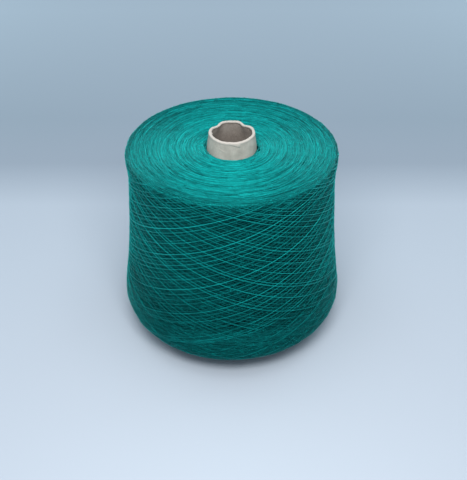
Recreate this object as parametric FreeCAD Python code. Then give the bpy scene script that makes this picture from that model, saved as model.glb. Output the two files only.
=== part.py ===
import FreeCAD, Part
import math
import os

# A cone of knitting yarn: a tapered paper tube, wound with cross-laid yarn.
# It stands on the wide end of its tube. The origin is the middle of the base, +Z is the axis.

# Paper cone
HALF_ANGLE = 4 + 20 / 60      # degrees, the usual taper of a knitting cone
CONE_LENGTH = 170.0
NOSE_DIAMETER = 35.4          # outside the cover ply, at the very top
BOARD_WALL = 1.8              # greyboard
BEAD_RADIUS = 1.2             # round of the rolled-in nose
NOSE_LIP = 5.0                # how far the rolled-in board reaches down inside
LIP_CHAMFER = 1.0             # slope from the end of that lip back to the wall
COVER_PLY = 0.3               # pale outer paper
COVER_LIFT = 0.5              # the cover ply stops this far above the foot of the tube
COVER_TURN_IN = 1.0           # how far the cover ply goes down inside the nose
GLUE_GAP = 0.05               # glue line between board and cover ply

# Wound yarn
BASE_SHOWING = 7.9            # bare tube below the yarn
NOSE_SHOWING = 13.2           # bare tube above the yarn, at the tube
CREST_DIAMETER = 160.0        # top edge of the winding
CREST_RISE = 1.3              # the top face is dished by this much
CREST_ROUND = 3.1             # rounding of the top edge
WAIST_DEPTH = 1.1             # the side pulls in by this much below the crest
WAIST_DROP = 15.3             # waist below the top of the straight side
# At even heights between the widest place and the waist, the side stands this far outside the crest
SIDE_REACHES = (5.2, 2.1, 0.2)
BULGE_REACH = 8.6             # the widest place stands this far outside the crest
BULGE_HEIGHT = 20.2           # widest place above the underside of the yarn
BOTTOM_ROUND = 23.9           # how far the underside's rounding reaches in
WINDING_GAP = 0.1             # first layer of yarn from the cover ply

# Transfer tail: the yarn's first end, a few turns round the bare foot of the tube
YARN_THICKNESS = 0.6
TAIL_TURNS = 5
TAIL_HEIGHT = 2.6             # lowest turn above the foot
TAIL_GAP = 0.05

SLOPE = math.tan(math.radians(HALF_ANGLE))
WIDEN = 1 / math.cos(math.radians(HALF_ANGLE))    # horizontal size of a thickness square to the cone
OUTWARD = FreeCAD.Vector(1, 0, 0)
UP = FreeCAD.Vector(0, 0, 1)


def point(radius, height):
    return FreeCAD.Vector(radius, 0, height)


def cone_radius(height, inset=0.0):
    """Radius of the cone at a height, inset square to its surface."""
    return NOSE_DIAMETER / 2 + (CONE_LENGTH - height) * SLOPE - inset * WIDEN


def line(start, end):
    return Part.makeLine(start, end)


def arc(start, middle, end):
    return Part.Arc(start, middle, end).toShape()


def spun(edges):
    """Solid of revolution of a closed outline in the XZ plane."""
    face = Part.Face(Part.Wire(edges))
    return face.revolve(FreeCAD.Vector(0, 0, 0), UP, 360)


def nose_arc(inset):
    """Start, top and end of the rolled nose, inset from the outside of the cover ply."""
    round_radius = BEAD_RADIUS + COVER_PLY - inset
    centre_height = CONE_LENGTH - COVER_PLY - BEAD_RADIUS
    centre_radius = cone_radius(centre_height, COVER_PLY + BEAD_RADIUS)
    lean = math.radians(HALF_ANGLE)
    start = point(centre_radius + round_radius * math.cos(lean),
                  centre_height + round_radius * math.sin(lean))
    top = point(centre_radius, centre_height + round_radius)
    end = point(centre_radius - round_radius, centre_height)
    return start, top, end


def core_tube():
    """Greyboard cone, with its nose rolled in to a round bead and a short lip."""
    outside = COVER_PLY + GLUE_GAP
    inside = outside + BOARD_WALL
    start, top, end = nose_arc(outside)
    lip_end = point(end.x, end.z - NOSE_LIP)
    wall_height = lip_end.z - LIP_CHAMFER
    wall_top = point(cone_radius(wall_height, inside), wall_height)
    foot_in = point(cone_radius(0, inside), 0)
    foot_out = point(cone_radius(0, outside), 0)
    return spun([line(foot_out, start), arc(start, top, end), line(end, lip_end),
                 line(lip_end, wall_top), line(wall_top, foot_in), line(foot_in, foot_out)])


def cover_ply():
    """Thin outer paper, from just above the foot over the nose and down inside it."""
    out_start, out_top, out_end = nose_arc(0)
    in_start, in_top, in_end = nose_arc(COVER_PLY)
    foot_out = point(cone_radius(COVER_LIFT), COVER_LIFT)
    foot_in = point(cone_radius(COVER_LIFT, COVER_PLY), COVER_LIFT)
    lip_height = out_end.z - COVER_TURN_IN
    lip_face = point(out_end.x, lip_height)
    lip_back = point(in_end.x, lip_height)
    return spun([line(foot_out, out_start), arc(out_start, out_top, out_end), line(out_end, lip_face),
                 line(lip_face, lip_back), line(lip_back, in_end), arc(in_end, in_top, in_start),
                 line(in_start, foot_in), line(foot_in, foot_out)])


def side_curve(low, high):
    """Side of the winding, upright at the widest place and where it meets the rounding of the crest."""
    waist = point(high.x - WAIST_DEPTH, high.z - WAIST_DROP)
    step = (waist.z - low.z) / (len(SIDE_REACHES) + 1)
    between = [point(high.x + reach, low.z + step * place)
               for place, reach in enumerate(SIDE_REACHES, start=1)]
    curve = Part.BSplineCurve()
    curve.interpolate([low, *between, waist, high], InitialTangent=UP, FinalTangent=UP)
    return curve.toShape()


def bottom_curve(edge, widest):
    """Quarter ellipse from the flat underside out to the widest place."""
    centre = point(edge.x, widest.z)
    reach = widest.x - edge.x
    drop = widest.z - edge.z
    diagonal = math.sqrt(0.5)
    middle = point(centre.x + reach * diagonal, centre.z - drop * diagonal)
    curve = Part.BSplineCurve()
    curve.interpolate([edge, middle, widest], InitialTangent=OUTWARD, FinalTangent=UP)
    return curve.toShape()


def yarn_package():
    """The whole wound body as one plain ring."""
    underside = BASE_SHOWING
    yarn_top = CONE_LENGTH - NOSE_SHOWING
    crest_height = yarn_top + CREST_RISE
    crest = CREST_DIAMETER / 2
    widest = point(crest + BULGE_REACH, underside + BULGE_HEIGHT)
    edge = point(widest.x - BOTTOM_ROUND, underside)
    side_top = point(crest, crest_height - CREST_ROUND)
    rim = point(crest - CREST_ROUND, crest_height)
    diagonal = math.sqrt(0.5) * CREST_ROUND
    shoulder = point(rim.x + diagonal, side_top.z + diagonal)
    tube_top = point(cone_radius(yarn_top, -WINDING_GAP), yarn_top)
    tube_foot = point(cone_radius(underside, -WINDING_GAP), underside)
    return spun([line(tube_foot, edge), bottom_curve(edge, widest), side_curve(widest, side_top),
                 arc(side_top, shoulder, rim), line(rim, tube_top), line(tube_top, tube_foot)])


def transfer_tail():
    """Outer shape of the turns of the tail, close round the foot of the tube."""
    low = TAIL_HEIGHT
    high = TAIL_HEIGHT + TAIL_TURNS * YARN_THICKNESS
    low_in = point(cone_radius(low, -TAIL_GAP), low)
    low_out = point(cone_radius(low, -TAIL_GAP - YARN_THICKNESS), low)
    high_in = point(cone_radius(high, -TAIL_GAP), high)
    high_out = point(cone_radius(high, -TAIL_GAP - YARN_THICKNESS), high)
    return spun([line(low_in, low_out), line(low_out, high_out),
                 line(high_out, high_in), line(high_in, low_in)])


def main():
    os.makedirs("parts", exist_ok=True)
    nodes = {
        "core_tube": core_tube(),
        "cover_ply": cover_ply(),
        "yarn_package": yarn_package(),
        "transfer_tail": transfer_tail(),
    }
    for name, shape in nodes.items():
        box = shape.BoundBox
        print(f"{name}: {len(shape.Solids)} solid, valid {shape.isValid()}, "
              f"{shape.Volume / 1000:.1f} cm3, z {box.ZMin:.2f} to {box.ZMax:.2f}, x to {box.XMax:.2f}")
        shape.exportStep(f"parts/{name}.step")


main()
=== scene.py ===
import math

import bpy
import numpy as np
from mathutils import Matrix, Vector


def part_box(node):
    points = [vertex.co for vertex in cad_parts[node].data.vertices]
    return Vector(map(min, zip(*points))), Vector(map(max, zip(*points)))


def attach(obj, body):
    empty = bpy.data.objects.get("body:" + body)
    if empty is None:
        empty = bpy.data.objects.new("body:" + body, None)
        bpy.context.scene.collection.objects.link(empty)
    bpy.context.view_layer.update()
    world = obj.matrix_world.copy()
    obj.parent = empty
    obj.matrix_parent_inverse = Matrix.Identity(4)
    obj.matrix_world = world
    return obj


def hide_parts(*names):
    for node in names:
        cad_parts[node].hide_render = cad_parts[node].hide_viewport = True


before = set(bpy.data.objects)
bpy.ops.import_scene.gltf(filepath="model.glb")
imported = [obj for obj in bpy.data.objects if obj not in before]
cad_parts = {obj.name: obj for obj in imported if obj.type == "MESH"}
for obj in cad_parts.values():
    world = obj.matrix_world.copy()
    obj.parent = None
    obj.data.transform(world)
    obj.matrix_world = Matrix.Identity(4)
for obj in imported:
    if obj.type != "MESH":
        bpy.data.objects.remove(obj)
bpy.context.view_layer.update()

rng = np.random.default_rng(20)
fullTurn = 2 * math.pi

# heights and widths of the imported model, in metres
yarnLow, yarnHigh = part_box("yarn_package")
coverLow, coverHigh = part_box("cover_ply")
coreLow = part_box("core_tube")[0]
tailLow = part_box("transfer_tail")[0]
taper = math.tan(math.radians(4 + 20 / 60))    # half-angle of the tube


def coneRadius(z):
    return coverHigh.x - (z - coverLow.z) * taper    # outside of the cover ply, narrowing evenly upwards


def smoothStep(x, low, high):
    t = np.clip((x - low) / (high - low), 0, 1)
    return t * t * (3 - 2 * t)


def runningMean(values, width):
    # mean over a sliding window, with the end values held
    half = width // 2
    padded = np.pad(values, half, mode="edge")
    return np.convolve(padded, np.ones(2 * half + 1) / (2 * half + 1), mode="valid")


# outline of the wound package, from the tube across the top, down the side and back to the tube
package = dict(
    crest=0.0800,                      # radius of the top edge
    crestRound=0.0031,
    dish=0.0013,                       # the top is this much lower at the tube
    waist=0.0789,
    waistDrop=0.0153,
    reaches=(0.0052, 0.0021, 0.0002),  # side beyond the crest at even heights, bulge to waist
    bulgeHeight=0.0202,
    footRound=0.0239,
    tubeGap=0.0002,
    step=0.0005,                       # between two stations of the finished outline
    blend=9,                           # stations over which its outward direction is evened
)


def hermite(x, knots, values):
    # smooth curve through the knots, level at both ends
    slopes = np.gradient(values, knots)
    slopes[0] = slopes[-1] = 0
    i = np.clip(np.searchsorted(knots, x) - 1, 0, len(knots) - 2)
    span = knots[i + 1] - knots[i]
    t = (x - knots[i]) / span
    return ((1 + 2 * t) * (1 - t) ** 2 * values[i] + t * (1 - t) ** 2 * span * slopes[i]
            + t * t * (3 - 2 * t) * values[i + 1] + t * t * (t - 1) * span * slopes[i + 1])


def packageOutline():
    p = package
    bulgeZ = yarnLow.z + p["bulgeHeight"]
    crestZ = yarnHigh.z - p["crestRound"]
    waistZ = crestZ - p["waistDrop"]
    faceZ = yarnHigh.z - p["dish"]
    rimR = p["crest"] - p["crestRound"]
    edgeR = yarnHigh.x - p["footRound"]

    faceT = np.linspace(0, 1, 200)
    tubeR = coneRadius(faceZ) + p["tubeGap"]
    face = np.stack([tubeR + (rimR - tubeR) * faceT, faceZ + p["dish"] * faceT], 1)
    turn = np.linspace(0, math.pi / 2, 40)
    crest = np.stack([rimR + p["crestRound"] * np.sin(turn), crestZ + p["crestRound"] * np.cos(turn)], 1)
    knots = np.concatenate([np.linspace(bulgeZ, waistZ, len(p["reaches"]) + 2), [crestZ]])
    values = np.array([yarnHigh.x, *(p["crest"] + reach for reach in p["reaches"]), p["waist"], p["crest"]])
    sideZ = np.linspace(crestZ, bulgeZ, 400)
    side = np.stack([hermite(sideZ, knots, values), sideZ], 1)
    foot = np.stack([edgeR + p["footRound"] * np.cos(turn), bulgeZ - p["bulgeHeight"] * np.sin(turn)], 1)
    underR = np.linspace(edgeR, coneRadius(yarnLow.z) + p["tubeGap"], 100)
    under = np.stack([underR, np.full_like(underR, yarnLow.z)], 1)

    runs = [face, crest, side, foot, under]
    line = np.concatenate([runs[0]] + [run[1:] for run in runs[1:]])
    along = np.concatenate([[0], np.cumsum(np.hypot(*np.diff(line, axis=0).T))])
    ends = along[np.cumsum([len(run) for run in runs]) - 1 - np.arange(len(runs))]
    even = np.linspace(0, along[-1], int(along[-1] / p["step"]))
    radius = np.interp(even, along, line[:, 0])
    height = np.interp(even, along, line[:, 1])
    outR = runningMean(-np.gradient(height, even), p["blend"])
    outZ = runningMean(np.gradient(radius, even), p["blend"])
    size = np.hypot(outR, outZ)
    return dict(q=even, r=radius, z=height, outR=outR / size, outZ=outZ / size), ends


outline, (rimQ, shoulderQ, bulgeQ, footQ, lastQ) = packageOutline()


def onPackage(q, phi, lift):
    # point and outward direction at distance q along the outline, azimuth phi, lift off the surface
    at = {key: np.interp(q, outline["q"], outline[key]) for key in ("r", "z", "outR", "outZ")}
    radius = at["r"] + at["outR"] * lift
    cosine, sine = np.cos(phi), np.sin(phi)
    spot = np.stack([radius * cosine, radius * sine, at["z"] + at["outZ"] * lift], -1)
    outward = np.stack([at["outR"] * cosine, at["outR"] * sine, at["outZ"]], -1)
    return spot, outward


print("outline:", len(outline["q"]), "stations,", round(float(lastQ) * 1000), "mm round")


def meshFromGrid(name, spots, faces, corners):
    # spots as rows of x y z, faces as a list of index arrays of one width each, corners as named UV rows
    mesh = bpy.data.meshes.new(name)
    mesh.vertices.add(len(spots))
    mesh.vertices.foreach_set("co", spots.astype(np.float32).ravel())
    loops = np.concatenate([f.ravel() for f in faces]).astype(np.int32)
    totals = np.concatenate([np.full(len(f), f.shape[1]) for f in faces]).astype(np.int32)
    mesh.loops.add(len(loops))
    mesh.loops.foreach_set("vertex_index", loops)
    mesh.polygons.add(len(totals))
    mesh.polygons.foreach_set("loop_start", np.concatenate([[0], np.cumsum(totals)[:-1]]).astype(np.int32))
    mesh.polygons.foreach_set("loop_total", totals)
    mesh.polygons.foreach_set("use_smooth", np.ones(len(totals), bool))
    for layer, rows in corners.items():
        uv = mesh.uv_layers.new(name=layer)
        uv.data.foreach_set("uv", rows.astype(np.float32).ravel())
    mesh.update(calc_edges=True)
    mesh.validate()
    made = bpy.data.objects.new(name, mesh)
    bpy.context.scene.collection.objects.link(made)
    return made


# map of a piece's strands: each strand has one cell, along it in U and round it in V
strandCell = dict(
    longer=12,              # a cell is this many times longer than it is high, as a share of the map
    along=(0.04, 0.92),     # where the strand starts in its cell, and how much of it it takes
    round=(0.08, 0.84),
    capPlaces=(0.02, 0.98),
    capHalf=(0.012, 0.30),
)


def strandTubes(paths, outward, thickness, sides):
    # rings of points square to each path, the first point of a ring on its outward side
    ahead = np.gradient(paths, axis=1)
    ahead /= np.linalg.norm(ahead, axis=2, keepdims=True)
    across = np.cross(outward, ahead)
    across /= np.linalg.norm(across, axis=2, keepdims=True)
    up = np.cross(ahead, across)
    turn = np.arange(sides) * fullTurn / sides
    ring = np.cos(turn)[:, None] * up[:, :, None] + np.sin(turn)[:, None] * across[:, :, None]
    return paths[:, :, None] + ring * (np.reshape(thickness, (-1, 1, 1, 1)) / 2)


def strandFaces(count, length, sides):
    # quads from ring to ring, and a cap on both ends of every strand
    strand = np.arange(count)[:, None, None] * length * sides
    step = np.arange(length - 1)[None, :, None] * sides
    side = np.arange(sides)[None, None, :]
    after = (side + 1) % sides
    quads = np.stack([strand + step + side, strand + step + sides + side,
                      strand + step + sides + after, strand + step + after], -1).reshape(-1, 4)
    start = strand[:, 0] + side[0]
    finish = start[:, ::-1] + (length - 1) * sides
    return [quads, start, finish]


def cornerRows(quadU, quadV, capU, capV):
    # U and V of every corner, those of the quads first and then those of the caps
    return np.concatenate([np.stack([quadU, quadV], -1).reshape(-1, 2),
                           np.stack([capU, capV], -1).reshape(-1, 2)])


def strandMaps(paths, sides):
    # OFBake gives each strand its cell; strandLay has metres along the strand and the share round it
    count, length = paths.shape[:2]
    columns = max(1, int(round(math.sqrt(count / strandCell["longer"]))))
    rows = math.ceil(count / columns)
    column = (np.arange(count) % columns)[:, None]
    row = (np.arange(count) // columns)[:, None]
    runs = np.linalg.norm(np.diff(paths, axis=1), axis=2)
    along = np.concatenate([np.zeros((count, 1)), np.cumsum(runs, axis=1)], 1)

    quadShape = (count, length - 1, sides, 4)
    low, high = along[:, :-1, None, None], along[:, 1:, None, None]
    metres = np.broadcast_to(np.concatenate([low, high, high, low], 3), quadShape)
    share = np.arange(sides)[:, None] / sides
    shareNext = share + 1 / sides
    shares = np.broadcast_to(np.concatenate([share, share, shareNext, shareNext], 1), quadShape)
    (startU, sizeU), (startV, sizeV) = strandCell["along"], strandCell["round"]
    bakeU = (column[..., None, None] + startU + sizeU * metres / along[:, -1, None, None, None]) / columns
    bakeV = (row[..., None, None] + startV + sizeV * shares) / rows

    turn = np.arange(sides) * fullTurn / sides
    halfU, halfV = strandCell["capHalf"]
    capPlaces = np.array(strandCell["capPlaces"])[:, None, None]
    capU = (column + capPlaces + halfU * np.cos(turn)) / columns
    capV = np.broadcast_to((row + 0.5 + halfV * np.sin(turn)) / rows, capU.shape)
    capMetres = np.stack([np.zeros((count, sides)), np.repeat(along[:, -1:], sides, 1)])
    capShares = np.broadcast_to(turn / fullTurn, capU.shape)
    return dict(OFBake=cornerRows(bakeU, bakeV, capU, capV),
                strandLay=cornerRows(metres, shares, capMetres, capShares))


def strandPiece(name, paths, outward, thickness, tones, sides):
    # every path becomes a closed round strand with its own tone, or one for each of its points
    count, length = paths.shape[:2]
    spots = strandTubes(paths, outward, thickness, sides).reshape(-1, 3)
    made = meshFromGrid(name, spots, strandFaces(count, length, sides), strandMaps(paths, sides))
    tone = made.data.attributes.new("tone", "FLOAT", "POINT")
    pointTones = np.broadcast_to(np.reshape(tones, (count, -1, 1)), (count, length, sides))
    tone.data.foreach_set("value", pointTones.astype(np.float32).ravel())
    return made


def revolvedPiece(name, radius, height, around, shape=None):
    # closed outline (radius, height) carried round the axis; shape(theta, r, z) may push it about
    theta = np.arange(around) * fullTurn / around
    r = np.repeat(radius[:, None], around, 1)
    z = np.repeat(height[:, None], around, 1)
    if shape:
        r, z = shape(theta[None, :], r, z)
    spots = np.stack([r * np.cos(theta), r * np.sin(theta), z], -1).reshape(-1, 3)
    n = len(radius)
    i, j = np.arange(n)[:, None], np.arange(around)[None, :]
    iNext, jNext = (i + 1) % n, (j + 1) % around
    quads = np.stack([i * around + j, i * around + jNext,
                      iNext * around + jNext, iNext * around + j], -1).reshape(-1, 4)
    lengths = np.hypot(np.diff(radius, append=radius[:1]), np.diff(height, append=height[:1]))
    edge = np.concatenate([[0], np.cumsum(lengths)])
    low, high = (edge[:-1] / edge[-1])[:, None], (edge[1:] / edge[-1])[:, None]
    u0 = np.broadcast_to(j / around, (n, around))
    u1 = np.broadcast_to((j + 1) / around, (n, around))
    v0, v1 = np.broadcast_to(low, (n, around)), np.broadcast_to(high, (n, around))
    uv = np.stack([np.stack([u0, v0], -1), np.stack([u1, v0], -1),
                   np.stack([u1, v1], -1), np.stack([u0, v1], -1)], 2).reshape(-1, 2)
    return meshFromGrid(name, spots, [quads], {"OFBake": uv})


# cross winding of the side
winding = dict(
    thickness=0.00050,
    traverses=960,        # one traverse runs from the crest to the foot, the next comes back up
    turns=0.98,           # round the package in one traverse
    creep=0.618034,       # each pair of traverses starts this share of a turn further on
    jitter=0.009,         # unevenness of the starts, in radians
    topInset=0.0028,      # the highest traverse turns back this far inside the rim
    bottomInset=0.0010,   # the lowest turns back this far in on the underside
    crestEase=0.025,      # share of a traverse in which it turns back at the crest
    footEase=0.28,        # the same at the foot, where it runs out nearly level
    crestScatter=0.0016,
    footScatter=0.0200,
    wander=0.00014,
    samples=1500,
    meshSteps=112,
    squash=0.72,          # how high a strand rides on those it crosses, 1 for not sinking in at all
    bridge=25,            # samples that a taut strand spans without sagging
    endDive=0.0016,       # both ends of a traverse go under the turn-back arcs
    looseEnds=30,         # samples at each end that later strands don't rest on
    proud=0.00024,        # how far a strand may stand above its neighbourhood
    uneven=(0.88, 1.12),  # thinnest and thickest strand
    pieces=5,
    sides=4,
)
# tone of the side's strands: the middle one, the spread, and what depth, foot and crest do to it, these
# three being painted shade
sideLook = dict(tone=0.425, spread=0.10, paintedDepthShade=0.54, footCalm=0.6, paintedFootShade=0.37, paintedCrestShade=0.42)
# height map of the laid strands: size of a cell, rows to spare at each edge, cells in a block, and the
# share of a block's cells, in hundredths, that lie under its typical height
bed = dict(across=0.00012, around=0.0004, radius=0.082, edge=8, block=(40, 28), typical=88)
topQ, lowQ = rimQ - winding["topInset"], footQ + winding["bottomInset"]


def traverseShape(samples):
    # share of the way down against share of the turns: level at each end, steady between
    u = np.linspace(0, 1, samples)
    speed = smoothStep(u, -winding["crestEase"] * 0.1, winding["crestEase"]) \
        * smoothStep(1 - u, -winding["footEase"] * 0.06, winding["footEase"])
    way = np.concatenate([[0], np.cumsum((speed[1:] + speed[:-1]) / 2)])
    return way / way[-1]


def slidingMax(values, width):
    half = width // 2
    windows = np.lib.stride_tricks.sliding_window_view(np.pad(values, half, mode="edge"), 2 * half + 1)
    return windows.max(1)


def neighbourhood(heights):
    # height that most strands reach, block by block, smoothed with the blocks beside it
    tall, wide = bed["block"]
    rows, cols = heights.shape[0] // tall, heights.shape[1] // wide
    blocks = heights[:rows * tall, :cols * wide].reshape(rows, tall, cols, wide)
    level = np.percentile(blocks, bed["typical"], axis=(1, 3))
    around = (np.roll(level, 1, 1) + 2 * level + np.roll(level, -1, 1)) / 4
    padded = np.pad(around, ((1, 1), (0, 0)), mode="edge")
    return (padded[:-2] + 2 * padded[1:-1] + padded[2:]) / 4


def readBlocks(level, row, col):
    # bilinear reading of the blocks at cell positions, wrapping round the package
    y = np.clip(row / bed["block"][0] - 0.5, 0, level.shape[0] - 1.001)
    x = col / bed["block"][1] - 0.5
    y0, x0 = np.floor(y).astype(int), np.floor(x).astype(int)
    ty, tx = y - y0, x - x0
    left, right = x0 % level.shape[1], (x0 + 1) % level.shape[1]
    return ((level[y0, left] * (1 - tx) + level[y0, right] * tx) * (1 - ty)
            + (level[y0 + 1, left] * (1 - tx) + level[y0 + 1, right] * tx) * ty)


def traversePaths():
    # all traverses share one path; only their ends are scattered, and each wanders by two slow waves
    w = winding
    number, samples = w["traverses"], w["samples"]
    way = traverseShape(samples)
    turning = np.linspace(0, 1, samples)
    crestQ = topQ + np.abs(rng.normal(0, 1, number + 1)) * w["crestScatter"]
    bottomQ = lowQ - rng.random(number + 1) ** 1.3 * w["footScatter"]
    starts = np.arange(number) * (w["turns"] + w["creep"] / 2) * fullTurn
    starts = starts + rng.normal(0, w["jitter"], number)
    q = np.empty((number, samples))
    for i in range(number):
        down = i % 2 == 0
        high, low = (crestQ[i], bottomQ[i + 1]) if down else (crestQ[i + 1], bottomQ[i])
        part = way if down else way[::-1]
        wave = w["wander"] * (np.sin(turning * rng.uniform(5, 14) + rng.uniform(0, 6))
                              + np.sin(turning * rng.uniform(20, 45) + rng.uniform(0, 6)) * 0.25)
        q[i] = topQ + (lowQ - topQ) * part + wave * np.sin(turning * math.pi) ** 0.5
        q[i] += (high - topQ) * (1 - smoothStep(part, 0, 0.15)) + (low - lowQ) * smoothStep(part, 0.55, 1)
    return q, starts[:, None] + turning * w["turns"] * fullTurn


def layTraverses(q, phi):
    # each new strand is laid taut on a height map of the package, which it then raises
    number, samples = q.shape
    half = winding["thickness"] / 2
    reach = int(half / bed["across"])
    across = range(-reach, reach + 1)
    crowns = [half * math.sqrt(1 - (k * bed["across"] / half) ** 2) for k in across]
    rows = int((lowQ - topQ) / bed["across"]) + 3 * bed["edge"]
    cols = int(fullTurn * bed["radius"] / bed["around"]) // bed["block"][1] * bed["block"][1]
    heights = np.zeros((rows, cols))
    row = np.clip(((q - topQ) / bed["across"]).astype(int) + bed["edge"], reach, rows - 1 - reach)
    col = (phi / fullTurn * cols).astype(int) % cols
    kept = slice(winding["looseEnds"], samples - winding["looseEnds"])
    lift = np.empty_like(q)
    for i in range(number):
        below = np.max([heights[row[i] + k, col[i]] for k in across], 0)
        taut = -slidingMax(-slidingMax(below, winding["bridge"]), winding["bridge"])
        lift[i] = runningMean(taut, 7) + half * winding["squash"]
        for k, crown in zip(across, crowns):
            np.maximum.at(heights, (row[i, kept] + k, col[i, kept]), lift[i, kept] + crown)

    level = neighbourhood(heights)
    around = readBlocks(level, (q - topQ) / bed["across"] + bed["edge"], phi / fullTurn * cols)
    stand = np.minimum(lift - around + half, winding["proud"])
    blockQ = topQ + ((np.arange(len(level)) + 0.5) * bed["block"][0] - bed["edge"]) * bed["across"]
    print("winding:", number, "traverses, deepest", round(float(level.max()) * 1000, 2), "mm")
    return stand, dict(q=blockQ, depth=level.mean(1))


def sideTones(q, stand):
    # painted light and shade: a strand is darker the deeper it lies under its neighbours and lighter the
    # prouder it stands, and darker towards the foot and at the crest
    towardsFoot = smoothStep(q, bulgeQ - 0.070, bulgeQ + 0.010)
    towardsCrest = 1 - smoothStep(q, rimQ, shoulderQ + 0.012)
    depth = np.clip(stand / winding["thickness"], -1.2, 0.5) * (1 - sideLook["footCalm"] * towardsFoot)
    own = sideLook["tone"] + rng.normal(0, sideLook["spread"], len(q))[:, None]
    tones = own + sideLook["paintedDepthShade"] * depth - sideLook["paintedFootShade"] * towardsFoot
    return np.clip(tones - sideLook["paintedCrestShade"] * towardsCrest, 0, 1)


def sideWinding():
    # the traverses as meshes, on fewer points than they were laid with
    q, phi = traversePaths()
    stand, depth = layTraverses(q, phi)
    turning = np.linspace(0, 1, winding["samples"])
    buried = winding["endDive"] * (1 - smoothStep(np.minimum(turning, 1 - turning), 0, 0.02))
    lift = stand - winding["thickness"] / 2 - buried
    pick = np.linspace(0, winding["samples"] - 1, winding["meshSteps"] + 1).round().astype(int)
    tones = sideTones(q[:, pick], stand[:, pick])
    thickness = winding["thickness"] * rng.uniform(*winding["uneven"], winding["traverses"])
    pieces = []
    for k, some in enumerate(np.array_split(np.arange(winding["traverses"]), winding["pieces"])):
        paths, outward = onPackage(q[some][:, pick], phi[some][:, pick], lift[some][:, pick])
        pieces.append(strandPiece(f"side_traverses_{k + 1}", paths, outward, thickness[some], tones[some],
                                  winding["sides"]))
    print("side:", len(pieces), "pieces")
    return pieces, depth


yarnPieces, windingDepth = sideWinding()

# turn-back arcs: what shows of each traverse on the top, under the crest, round the foot and below
arcs = dict(
    # the top arcs' last number darkens them towards the rim: painted shade, leaving those by the paper nose
    # paler as if lit by it
    top=dict(low=0.0006, high=rimQ - 0.0004, count=3050, half=(0.014, 0.038), depth=0.0009, dive=0.0011,
             slant=0.0013, slip=0.0004, steps=14, sides=4, tone=(0.62, 0.22), paintedRimShade=0.32),
    chord=dict(low=0.0004, high=0.0070, count=70, half=(0.006, 0.014), depth=0.0002, dive=0.0010,
               slant=0.0030, slip=0.0, steps=8, sides=5, tone=(0.50, 0.15)),
    # crest and foot arcs have low tones: painted shade on the rounded crest and on the foot turning down to
    # the floor
    crest=dict(low=rimQ - 0.001, high=rimQ + 0.0034, count=210, half=(0.018, 0.050), depth=0.0006,
               dive=0.0012, slant=0.0012, slip=0.0002, steps=14, sides=4, tone=(0.16, 0.10)),
    foot=dict(low=bulgeQ - 0.016, high=footQ + 0.001, count=1300, half=(0.018, 0.050), depth=0.0009,
              dive=0.0010, slant=0.0030, slip=0.0002, steps=12, sides=4, tone=(0.05, 0.06)),
    under=dict(low=footQ - 0.001, high=lastQ - 0.0006, count=1600, half=(0.010, 0.028), depth=0.0007,
               dive=0.0014, slant=0.0010, slip=-0.0008, steps=8, sides=4, tone=(0.35, 0.14)),
)
# the top of the winding stands off the tube at two opposite sides, by reach, fading out over a few mm
standOff = dict(reach=0.0027, over=0.0040, turned=0.2, ragged=0.5)
stlFaces = 190000    # the most that one piece of arcs may have


def evenSpread(number):
    # two even sequences of shares that don't repeat: multiples of an irrational step, from a random start
    k = np.arange(number)
    return (k * 0.7548777 + rng.random()) % 1, (k * 0.5698403 + rng.random()) % 1


def offTube(q, phi):
    # moves what is near the tube away from it, most on the X sides and least at front and back
    ragged = 1 + standOff["ragged"] * (np.sin(9 * phi + 1) + np.sin(23 * phi)) / 2
    sides = np.cos(phi + standOff["turned"]) ** 4
    return q + standOff["reach"] * ragged * sides * np.exp(-q / standOff["over"])


def layArcs(name, spec):
    # an arc runs round the axis, leans by slant, slips towards the tube in its middle and dives at its ends;
    # near the tube it swings no further than 1.2 radians to each side
    number = spec["count"]
    q = outline["q"]
    inside = (q >= spec["low"]) & (q <= spec["high"])
    weight = np.cumsum(outline["r"][inside])
    shareQ, sharePhi = evenSpread(number)
    q0 = np.interp(shareQ * weight[-1], weight, q[inside])
    phi0 = sharePhi * fullTurn
    half = rng.uniform(*spec["half"], number)
    v = np.linspace(-1, 1, spec["steps"] + 1)
    radius = np.interp(q0, outline["q"], outline["r"])
    swing = np.minimum(half / radius, 1.2)
    phi = phi0[:, None] + swing[:, None] * v
    slip = rng.random(number)[:, None] * spec["slip"] * (1 - v * v)
    qPath = q0[:, None] + rng.normal(0, 1, number)[:, None] * spec["slant"] * v - slip
    if name == "top":
        qPath = offTube(np.abs(qPath), phi)
    qPath = np.clip(qPath, 0.0004, lastQ - 0.0004)
    sunk = (rng.random(number) ** 1.3 * spec["depth"])[:, None] + spec["dive"] * (v ** 4 + 0.3 * v * v)
    paths, outward = onPackage(qPath, phi, -sunk - winding["thickness"] / 2)
    # painted light and shade: top arcs darker towards the rim, paler near the nose that lights them
    tones = rng.normal(*spec["tone"], number) - spec.get("paintedRimShade", 0) * (q0 / rimQ) ** 1.5
    return paths, outward, np.clip(tones, 0, 1)


for name, spec in arcs.items():
    paths, outward, tones = layArcs(name, spec)
    perStrand = spec["steps"] * spec["sides"] * 2 + 2 * (spec["sides"] - 2)
    pieces = math.ceil(len(paths) * perStrand / stlFaces)
    for k, some in enumerate(np.array_split(np.arange(len(paths)), pieces)):
        yarnPieces.append(strandPiece(f"{name}_arcs_{k + 1}", paths[some], outward[some],
                                      winding["thickness"], tones[some], spec["sides"]))
    print(name, "arcs:", len(paths))


# inner winding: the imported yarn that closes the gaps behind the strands
packed = dict(least=0.0015, overlap=0.0002, hollow=0.0060, hollowReach=0.0035, tubeGap=0.0001,
              boreRings=40, everyOther=3, around=120)


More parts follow.
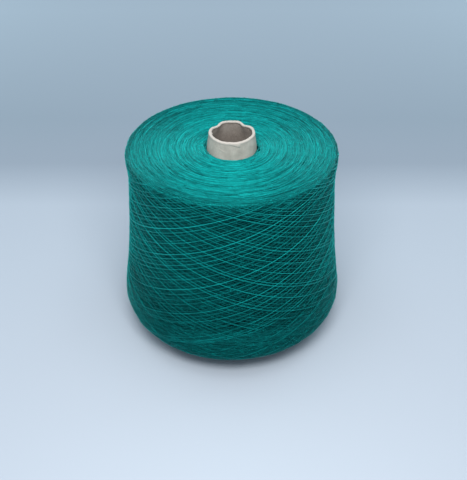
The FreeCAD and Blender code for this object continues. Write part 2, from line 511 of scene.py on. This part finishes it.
def innerWinding():
    # the outline, inset by the depth of the side's strands and hollowed where the top meets the tube
    q = outline["q"]
    side = np.interp(q, windingDepth["q"], windingDepth["depth"], left=0, right=0)
    inset = np.maximum(side - packed["overlap"], packed["least"])
    inset = inset + packed["hollow"] * np.exp(-q / packed["hollowReach"]) * (q < rimQ)
    inset = runningMean(inset, 9)
    r, z = outline["r"] - outline["outR"] * inset, outline["z"] - outline["outZ"] * inset
    r = np.maximum(r, coneRadius(z) + packed["tubeGap"])
    boreZ = np.linspace(z[-1], z[0], packed["boreRings"])[1:-1]
    r = np.concatenate([r, coneRadius(boreZ) + packed["tubeGap"]])
    z = np.concatenate([z, boreZ])
    keep = slice(None, None, packed["everyOther"])
    return revolvedPiece("inner_winding", r[keep][::-1], z[keep][::-1], packed["around"])


yarnPieces.append(innerWinding())
print("inner winding made")

# loose fibres: the short hairs that stand off spun yarn; their high tone is painted light, for the glow of
# light through the fuzz at the package's edges
fibres = dict(count=9000, length=(0.0020, 0.0060), thickness=0.00006, rise=(0.0002, 0.0012), bend=0.8,
              root=0.0003, tubeMargin=0.004, steps=3, sides=3, tone=0.95)


def looseFibres():
    # a hair leaves the surface in any direction and curves outwards as the 1.5th power of its length
    number = fibres["count"]
    weight = np.cumsum(outline["r"])
    q0 = np.interp(rng.random(number) * weight[-1], weight, outline["q"])[:, None]
    phi0 = rng.random(number)[:, None] * fullTurn
    heading = rng.random(number)[:, None] * fullTurn
    length = rng.uniform(*fibres["length"], number)[:, None]
    rise = rng.uniform(*fibres["rise"], number)[:, None]
    bend = rng.normal(0, fibres["bend"], number)[:, None]
    t = np.linspace(0, 1, fibres["steps"] + 1)[None, :]
    turned = heading + bend * t
    radius = np.interp(q0, outline["q"], outline["r"])
    qPath = np.clip(q0 + length * t * np.sin(turned), fibres["tubeMargin"], lastQ - fibres["tubeMargin"])
    phi = phi0 + length * t * np.cos(turned) / radius
    paths, outward = onPackage(qPath, phi, rise * t ** 1.5 - fibres["root"])
    return strandPiece("loose_fibres", paths, outward, fibres["thickness"],
                       np.full(number, fibres["tone"]), fibres["sides"])


yarnPieces.append(looseFibres())
print("loose fibres:", fibres["count"])

# paper tube: greyboard cone and its cover ply, with the nose rolled in by hand and slightly crushed
nose = dict(
    board=0.0018,
    cover=0.0003,
    glue=0.00006,         # between the cover ply and the board
    bead=0.00105,         # half the width of the rolled nose
    squareness=2.9,       # 2 would be a round bead, more is flatter on top
    turnIn=0.0003,
    lip=0.0050,
    recess=0.0004,        # under the rim, before the pressed lip
    crushFrom=0.158,      # below this height the tube is still round
    rimWaves=(0.00009, 0.00011),    # size of the small waves, inwards and down
    tornWaves=0.00022,    # the same along the torn inner edge
    notch=(186, 5, 0.0007),
    foldAngle=-71,        # where the end of the rolled paper shows
    foldWidth=14,
    foldEnd=1.2,          # degrees over which the fold drops away past its end
    foldProud=0.0005,
    foldDepth=0.0021,
    bandProud=0.00010,
    bandDepth=0.0006,
    bandStep=0.00012,     # height over which the wall steps out to the band
    scuff=((-121, 0.1640), (-106, 0.1622)),    # angle and height of its two ends
    scuffWidth=0.0004,
    scuffProud=0.00018,
)
# dents in the rim: angle, width in degrees, depth inwards and drop
dents = ((180, 55, 0.0007, 0.0), (0, 55, 0.0007, 0.0), (139, 17, 0.0025, 0.0002), (49, 16, 0.0028, 0.0003),
         (93, 20, 0.0008, 0.0), (-12, 14, -0.0003, 0.0))
# small waves round the rim: how many, how high, where they start, and their share of the shift
rimWaves = ((7, 0.5, 1.3, 1), (11, 0.4, 0.4, -1), (19, 0.35, 0, 2.1), (29, 0.25, 0, 1), (43, 0.2, 0, 0))


def angleFrom(theta, degrees):
    return (np.degrees(theta) - degrees + 180) % 360 - 180


def bell(theta, degrees, width):
    return np.exp(-(angleFrom(theta, degrees) / width) ** 2)


def crimps(theta, shift):
    # a sum of sines whose numbers of waves share no factor, so they don't repeat round the rim
    return sum(high * np.sin(theta * waves + start + share * shift)
               for waves, high, start, share in rimWaves)


def crushed(theta, r, z):
    # dents push the rim in and down, each a bell over the angle, fading out below the nose
    near = smoothStep(z, nose["crushFrom"], coverHigh.z)
    waveIn, waveDown = nose["rimWaves"]
    inward, drop = waveIn * crimps(theta, 0), waveDown * crimps(theta, 2)
    for degrees, width, deep, low in dents:
        inward = inward + bell(theta, degrees, width) * deep
        drop = drop + bell(theta, degrees, width) * low
    return r - inward * near, z - drop * near


def foldAt(theta):
    # 1 where the rolled paper ends, fading slowly before its end and at once past it
    before = -angleFrom(theta, nose["foldAngle"])
    return np.exp(-(before / np.where(before > 0, nose["foldWidth"], nose["foldEnd"])) ** 2)


def scuffAt(theta, z):
    # a low ridge along a slanted line, a bell across it and fading at its ends
    (angleA, heightA), (angleB, heightB) = nose["scuff"]
    share = np.clip((angleFrom(theta, 0) - angleA) / (angleB - angleA), -0.2, 1.2)
    lineZ = heightA + (heightB - heightA) * share
    ends = smoothStep(share, -0.2, 0.2) * smoothStep(1 - share, -0.2, 0.2)
    return np.exp(-((z - lineZ) / nose["scuffWidth"]) ** 2) * ends


def tornAt(theta):
    # the inner edge of the rim is torn unevenly, with one notch
    degrees, width, deep = nose["notch"]
    return nose["tornWaves"] * crimps(theta, 4) + bell(theta, degrees, width) * deep


def noseRound(halfWidth, count):
    # rolled nose from its outside over the top to its inside: a circle squared towards its corners
    centreZ = coverHigh.z - nose["bead"]
    centreR = coneRadius(centreZ) - nose["bead"]
    turn = np.linspace(math.radians(4), math.pi, count)
    power = 2 / nose["squareness"]
    return (centreR + halfWidth * np.sign(np.cos(turn)) * np.abs(np.cos(turn)) ** power,
            centreZ + halfWidth * np.abs(np.sin(turn)) ** power)


def coverPly():
    # outer skin up the cone, out over the rolled band, round the nose and just inside, then back behind
    centreZ = coverHigh.z - nose["bead"]
    wallTop = centreZ - nose["bandDepth"]
    fineZ = 0.150    # above this the rings are close enough for the scuff
    wallZ = np.concatenate([np.linspace(coverLow.z, fineZ, 40), np.linspace(fineZ, wallTop, 60)[1:]])
    outR, outZ = noseRound(nose["bead"], 26)
    inRound, inZ = noseRound(nose["bead"] - nose["cover"], 12)
    lipZ = centreZ - nose["turnIn"]
    bandZ = np.linspace(wallTop + nose["bandStep"], outZ[0], 4)[:-1]
    innerWallZ = wallZ[::-4]
    r = np.concatenate([coneRadius(wallZ), coneRadius(bandZ), outR, [outR[-1], inRound[-1]],
                        inRound[::-1], coneRadius(innerWallZ) - nose["cover"]])
    z = np.concatenate([wallZ, bandZ, outZ, [lipZ, lipZ], inZ[::-1], innerWallZ])
    row = np.arange(len(r))[:, None]
    wallCount = len(wallZ)
    bandEnd = wallCount + len(bandZ) + 9
    innerEdge = wallCount + len(bandZ) + len(outR)

    def shape(theta, rr, zz):
        # the rolled band stands proud, and most, and lowest, just before the fold's end
        fold = foldAt(theta)
        onBand = (row >= wallCount) & (row < bandEnd)
        below = 1 - smoothStep(zz, centreZ, coverHigh.z)
        rr = rr + onBand * (nose["bandProud"] + fold * nose["foldProud"]) * below
        zz = zz - np.clip(1 - np.abs(row - wallCount + 0.5) / 7, 0, 1) * fold * nose["foldDepth"]
        rr = rr + (row < wallCount) * scuffAt(theta, zz) * nose["scuffProud"]
        nearInner = smoothStep(row, innerEdge - 9, innerEdge - 2) * (row <= innerEdge + 4)
        return crushed(theta, rr - nearInner * tornAt(theta), zz)

    return revolvedPiece("cover_paper", r, z, 400, shape)


def boardTube():
    # greyboard wall under the cover ply, with its own rolled nose and its lip pressed flat to the wall
    skin = nose["cover"] + nose["glue"]
    centreZ = coverHigh.z - nose["bead"]
    lipZ = centreZ - nose["lip"]
    wallZ = np.linspace(coreLow.z, centreZ, 50)
    outR, outZ = noseRound(nose["bead"] - skin, 12)
    downZ = np.linspace(centreZ, lipZ, 12)[1:]
    inZ = np.linspace(lipZ, coreLow.z, 50)[1:]
    inside = coneRadius(inZ) - skin - nose["board"]
    lipR = np.linspace(outR[-1] + nose["recess"], inside[0], len(downZ))
    r = np.concatenate([coneRadius(wallZ) - skin, outR[1:], lipR, inside])
    z = np.concatenate([wallZ, outZ[1:], downZ, inZ])
    return revolvedPiece("board_tube", r, z, 240, crushed)


coverPiece = coverPly()
boardPiece = boardTube()
print("paper tube made")

# transfer tail: turns of yarn close round the foot, the last one climbing under the package
tail = dict(turns=5, pitch=0.0006, lead=0.9, tuck=0.0006, samples=300, start=-2.2, sides=10, tone=0.55)


def tailTurns():
    # a helix on the cone: level for its first half turn, then one pitch higher with each turn
    t = np.linspace(0, 1, tail["samples"])
    allTurns = tail["turns"] + tail["lead"]
    phi = t * allTurns * fullTurn + tail["start"]
    thick = winding["thickness"]
    level = np.minimum(t * allTurns, tail["turns"])
    climb = smoothStep(t, tail["turns"] / allTurns, 1)
    z = tailLow.z + thick / 2 + (level - 0.5).clip(0) * tail["pitch"]
    z = z + climb * (yarnLow.z + tail["tuck"] - z)
    r = coneRadius(z) + thick / 2
    paths = np.stack([r * np.cos(phi), r * np.sin(phi), z], -1)[None]
    outward = np.stack([np.cos(phi), np.sin(phi), np.full_like(phi, taper)], -1)[None]
    return strandPiece("tail_turns", paths, outward, thick, np.array([tail["tone"]]), tail["sides"])


tailPiece = tailTurns()


def newMaterial(name, finish):
    # a Principled material whose shader takes the uniform numbers and colours of its finish
    material = bpy.data.materials.new(name)
    material.use_nodes = True
    tree = material.node_tree
    shader = tree.nodes["Principled BSDF"]
    for key, value in finish.items():
        shader.inputs[key].default_value = value
    return material, tree, shader


def addNode(tree, kind, inputs=None, **settings):
    # one node: settings are its own fields, inputs are values or sockets to link
    made = tree.nodes.new(kind)
    for key, value in settings.items():
        setattr(made, key, value)
    for key, value in (inputs or {}).items():
        if isinstance(value, bpy.types.NodeSocket):
            tree.links.new(value, made.inputs[key])
        else:
            made.inputs[key].default_value = value
    return made


def colourRamp(tree, factor, stops):
    ramp = addNode(tree, "ShaderNodeValToRGB", {"Fac": factor})
    elements = ramp.color_ramp.elements
    while len(elements) < len(stops):
        elements.new(0.5)
    for element, (place, colour) in zip(elements, stops):
        element.position = place
        element.color = (*colour, 1)
    return ramp.outputs["Color"]


def calc(tree, operation, *values):
    # a Math node on numbers and sockets
    return addNode(tree, "ShaderNodeMath", dict(enumerate(values)), operation=operation).outputs[0]


def noise(tree, scale, detail, stretch=None):
    # noise over the object's own coordinates, drawn out by another scale for each axis
    place = addNode(tree, "ShaderNodeTexCoord").outputs["Object"]
    if stretch:
        place = addNode(tree, "ShaderNodeMapping", {"Vector": place, "Scale": stretch}).outputs[0]
    made = addNode(tree, "ShaderNodeTexNoise", {"Vector": place, "Scale": scale, "Detail": detail})
    return made.outputs["Fac"]


def addBump(tree, shader, height, strength, distance):
    bump = addNode(tree, "ShaderNodeBump", {"Height": height, "Strength": strength, "Distance": distance})
    tree.links.new(bump.outputs[0], shader.inputs["Normal"])


dyedYarn = dict(
    finish={"Roughness": 0.38, "Specular IOR Level": 0.4, "Specular Tint": (0.02, 0.90, 0.86, 1),
            "Sheen Weight": 1.0, "Sheen Roughness": 0.30, "Sheen Tint": (0.01, 0.80, 0.76, 1)},
    stops=((0.0, (0.0016, 0.056, 0.057)), (0.5, (0.0035, 0.214, 0.210)), (1.0, (0.0070, 0.410, 0.398))),
    blotch=(260.0, 3.0, 0.5),     # scale, detail and strength
    twists=420.0,                 # turns of the twist in a metre, each showing its two plies
    twistTone=0.05,
    bump=(0.22, 0.0001),
)


def yarnMaterial():
    # dyed spun yarn: each strand has its own tone, with painted shade laid into it, a slow blotch and the
    # slant of its twist
    material, tree, shader = newMaterial("dyed_yarn", dyedYarn["finish"])
    tone = addNode(tree, "ShaderNodeAttribute", attribute_name="tone").outputs["Fac"]
    scale, detail, strength = dyedYarn["blotch"]
    blotched = calc(tree, "MULTIPLY_ADD", noise(tree, scale, detail), strength, tone)
    middle = calc(tree, "SUBTRACT", blotched, strength / 2)
    lay = addNode(tree, "ShaderNodeUVMap", uv_map="strandLay").outputs[0]
    parts = addNode(tree, "ShaderNodeSeparateXYZ", {0: lay}).outputs
    slant = calc(tree, "ADD", calc(tree, "MULTIPLY", parts["X"], dyedYarn["twists"]), parts["Y"])
    twist = calc(tree, "SINE", calc(tree, "MULTIPLY", slant, 2 * fullTurn))
    shade = calc(tree, "MULTIPLY_ADD", twist, dyedYarn["twistTone"], middle)
    tree.links.new(colourRamp(tree, shade, dyedYarn["stops"]), shader.inputs["Base Color"])
    addBump(tree, shader, twist, *dyedYarn["bump"])
    return material


# the closed winding underneath is a darker copy of the yarn: painted shade for the deep gaps between strands
shadedPackedYarn = dict(
    finish={"Roughness": 0.9, "Specular IOR Level": 0.15},
    stops=((0.3, (0.0004, 0.050, 0.050)), (0.7, (0.0010, 0.130, 0.127))),
    streak=(1.0, 2.0, (60, 60, 1500)),
    bump=(0.6, 0.0004),
)


def shadedPackedYarnMaterial():
    # the closed winding underneath, coloured darker than the strands as painted shade for the gaps between
    # them, with level streaks of light and dark strands
    material, tree, shader = newMaterial("shaded_packed_yarn", shadedPackedYarn["finish"])
    streak = noise(tree, *shadedPackedYarn["streak"])
    tree.links.new(colourRamp(tree, streak, shadedPackedYarn["stops"]), shader.inputs["Base Color"])
    addBump(tree, shader, streak, *shadedPackedYarn["bump"])
    return material


coverPaper = dict(
    finish={"Roughness": 0.78, "Specular IOR Level": 0.35},
    stops=((0.45, (0.305, 0.282, 0.248)), (0.72, (0.405, 0.375, 0.332)), (0.95, (0.50, 0.465, 0.415))),
    cloud=(130.0, 4.0),
    fibre=(1.0, 5.0, (900, 900, 2600)),
    fibreShare=0.45,
    # the rim's paler colour is a painted highlight on the top of the rolled nose
    paintedRimHighlight=(0.515, 0.47, 0.425, 1),
    paintedRimHighlightDepths=(0.0022, 0.0004),    # below the top of the nose: where the painted highlight starts, and is full
    bump=(0.35, 0.00025),
)


def paperMaterial():
    # uncoated cream paper: cloudy stock and short fibres, painted paler along the rim as a highlight where
    # the rolled nose faces the light
    material, tree, shader = newMaterial("cover_paper", coverPaper["finish"])
    fibre = noise(tree, *coverPaper["fibre"])
    stock = calc(tree, "MULTIPLY_ADD", fibre, coverPaper["fibreShare"], noise(tree, *coverPaper["cloud"]))
    place = addNode(tree, "ShaderNodeTexCoord").outputs["Object"]
    height = addNode(tree, "ShaderNodeSeparateXYZ", {"Vector": place}).outputs["Z"]
    start, full = (coverHigh.z - depth for depth in coverPaper["paintedRimHighlightDepths"])
    paintedRimHighlight = addNode(tree, "ShaderNodeMapRange", {"Value": height, "From Min": start, "From Max": full})
    paper = addNode(tree, "ShaderNodeMix", {0: paintedRimHighlight.outputs[0]}, data_type="RGBA")
    tree.links.new(colourRamp(tree, stock, coverPaper["stops"]), paper.inputs[6])
    paper.inputs[7].default_value = coverPaper["paintedRimHighlight"]
    tree.links.new(paper.outputs[2], shader.inputs["Base Color"])
    addBump(tree, shader, stock, *coverPaper["bump"])
    return material


greyboard = dict(
    finish={"Roughness": 0.92, "Specular IOR Level": 0.2},
    stops=((0.55, (0.185, 0.158, 0.138)), (0.80, (0.255, 0.222, 0.196)), (1.0, (0.315, 0.283, 0.252))),
    fleck=(900.0, 6.0),
    fleckShare=0.6,
    cloud=(70.0, 3.0),
    bump=(0.5, 0.0002),
)


def boardMaterial():
    # recycled greyboard: brown-grey, cloudy and flecked
    material, tree, shader = newMaterial("greyboard", greyboard["finish"])
    fleck = noise(tree, *greyboard["fleck"])
    pulp = calc(tree, "MULTIPLY_ADD", fleck, greyboard["fleckShare"], noise(tree, *greyboard["cloud"]))
    tree.links.new(colourRamp(tree, pulp, greyboard["stops"]), shader.inputs["Base Color"])
    addBump(tree, shader, pulp, *greyboard["bump"])
    return material


def dress(piece, material, node):
    piece.data.materials.append(material)
    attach(piece, "root")
    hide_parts(node)


yarnTeal = yarnMaterial()
yarnPaintedShade = shadedPackedYarnMaterial()
for piece in yarnPieces:
    dress(piece, yarnPaintedShade if piece.name == "inner_winding" else yarnTeal, "yarn_package")
dress(tailPiece, yarnTeal, "transfer_tail")
dress(coverPiece, paperMaterial(), "cover_ply")
dress(boardPiece, boardMaterial(), "core_tube")

# the hidden nodes take the same finishes
finishes = dict(core_tube=boardPiece, cover_ply=coverPiece,
                yarn_package=yarnPieces[0], transfer_tail=tailPiece)
for node, like in finishes.items():
    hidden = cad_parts[node]
    hidden.data.materials.clear()
    hidden.data.materials.append(like.data.materials[0])
print("materials on", len(yarnPieces) + 3, "pieces")

# stage: pale floor, soft lights and the camera
stage = dict(floorSize=5.0, camera=(0.0013, -0.5206, 0.4646), pitch=37.25, lens=60, sensor=36,
             nearest=0.01, floorFront=0.25, roomColour=(0.80, 0.90, 1.0, 1), roomLight=0.55)
# floor colours from front to back over one metre, painted light and shade of the lamps' falloff: pale, then
# greyer behind the package, and pale again
paintedFloorLightStops = ((0.10, (0.515, 0.570, 0.650)), (0.40, (0.515, 0.570, 0.655)), (0.48, (0.350, 0.405, 0.485)),
              (0.58, (0.340, 0.410, 0.490)), (0.93, (0.500, 0.590, 0.685)))


def paleFloor():
    # a square whose colour changes with Y alone
    size = stage["floorSize"] / 2
    spots = np.array([(-size, -size, 0), (size, -size, 0), (size, size, 0), (-size, size, 0)], float)
    corners = np.array([(0, 0), (1, 0), (1, 1), (0, 1)], float)
    floor = meshFromGrid("pale_floor", spots, [np.array([[0, 1, 2, 3]])], {"floorMap": corners})
    material, tree, shader = newMaterial("pale_floor", {"Roughness": 0.6})
    place = addNode(tree, "ShaderNodeTexCoord").outputs["Object"]
    parts = addNode(tree, "ShaderNodeSeparateXYZ", {0: place}).outputs
    depth = calc(tree, "ADD", parts["Y"], stage["floorFront"])
    tree.links.new(colourRamp(tree, depth, paintedFloorLightStops), shader.inputs["Base Color"])
    floor.data.materials.append(material)


warmWhite, coolWhite = (1.0, 0.99, 0.97), (0.72, 0.98, 1.0)
lights = dict(
    top=dict(place=(0, -0.20, 0.92), aim=(0, -0.05, 0.05), size=(0.7, 0.7), power=2.5, colour=warmWhite),
    key=dict(place=(0, -0.33, 0.49), aim=(0, -0.05, 0.12), size=(0.26, 0.16), power=1.85, colour=warmWhite),
    left=dict(place=(-0.8, 0.60, 0.50), aim=(0, 0, 0.08), size=(0.8, 0.7), power=1.8, colour=coolWhite),
    right=dict(place=(0.8, 0.60, 0.50), aim=(0, 0, 0.08), size=(0.8, 0.7), power=1.8, colour=coolWhite),
)


def softLight(name, spec):
    lamp = bpy.data.lights.new(name, "AREA")
    lamp.shape = "RECTANGLE"
    lamp.size, lamp.size_y = spec["size"]
    lamp.energy = spec["power"]
    lamp.color = spec["colour"]
    made = bpy.data.objects.new(name, lamp)
    made.location = spec["place"]
    made.rotation_euler = (Vector(spec["aim"]) - Vector(spec["place"])).to_track_quat("-Z", "Y").to_euler()
    bpy.context.scene.collection.objects.link(made)


paleFloor()
for name, spec in lights.items():
    softLight(name, spec)

scene = bpy.context.scene
scene.world = scene.world or bpy.data.worlds.new("studio")
scene.world.use_nodes = True
room = scene.world.node_tree.nodes["Background"].inputs
room["Color"].default_value = stage["roomColour"]
room["Strength"].default_value = stage["roomLight"]
scene.view_settings.view_transform = "Standard"

camera = bpy.data.cameras.new("camera")
camera.lens, camera.sensor_width = stage["lens"], stage["sensor"]
camera.clip_start = stage["nearest"]
cameraObject = bpy.data.objects.new("camera", camera)
cameraObject.location = stage["camera"]
cameraObject.rotation_euler = (math.radians(90 - stage["pitch"]), 0, 0)
scene.collection.objects.link(cameraObject)
scene.camera = cameraObject
print("stage:", len(lights), "lights and a floor")
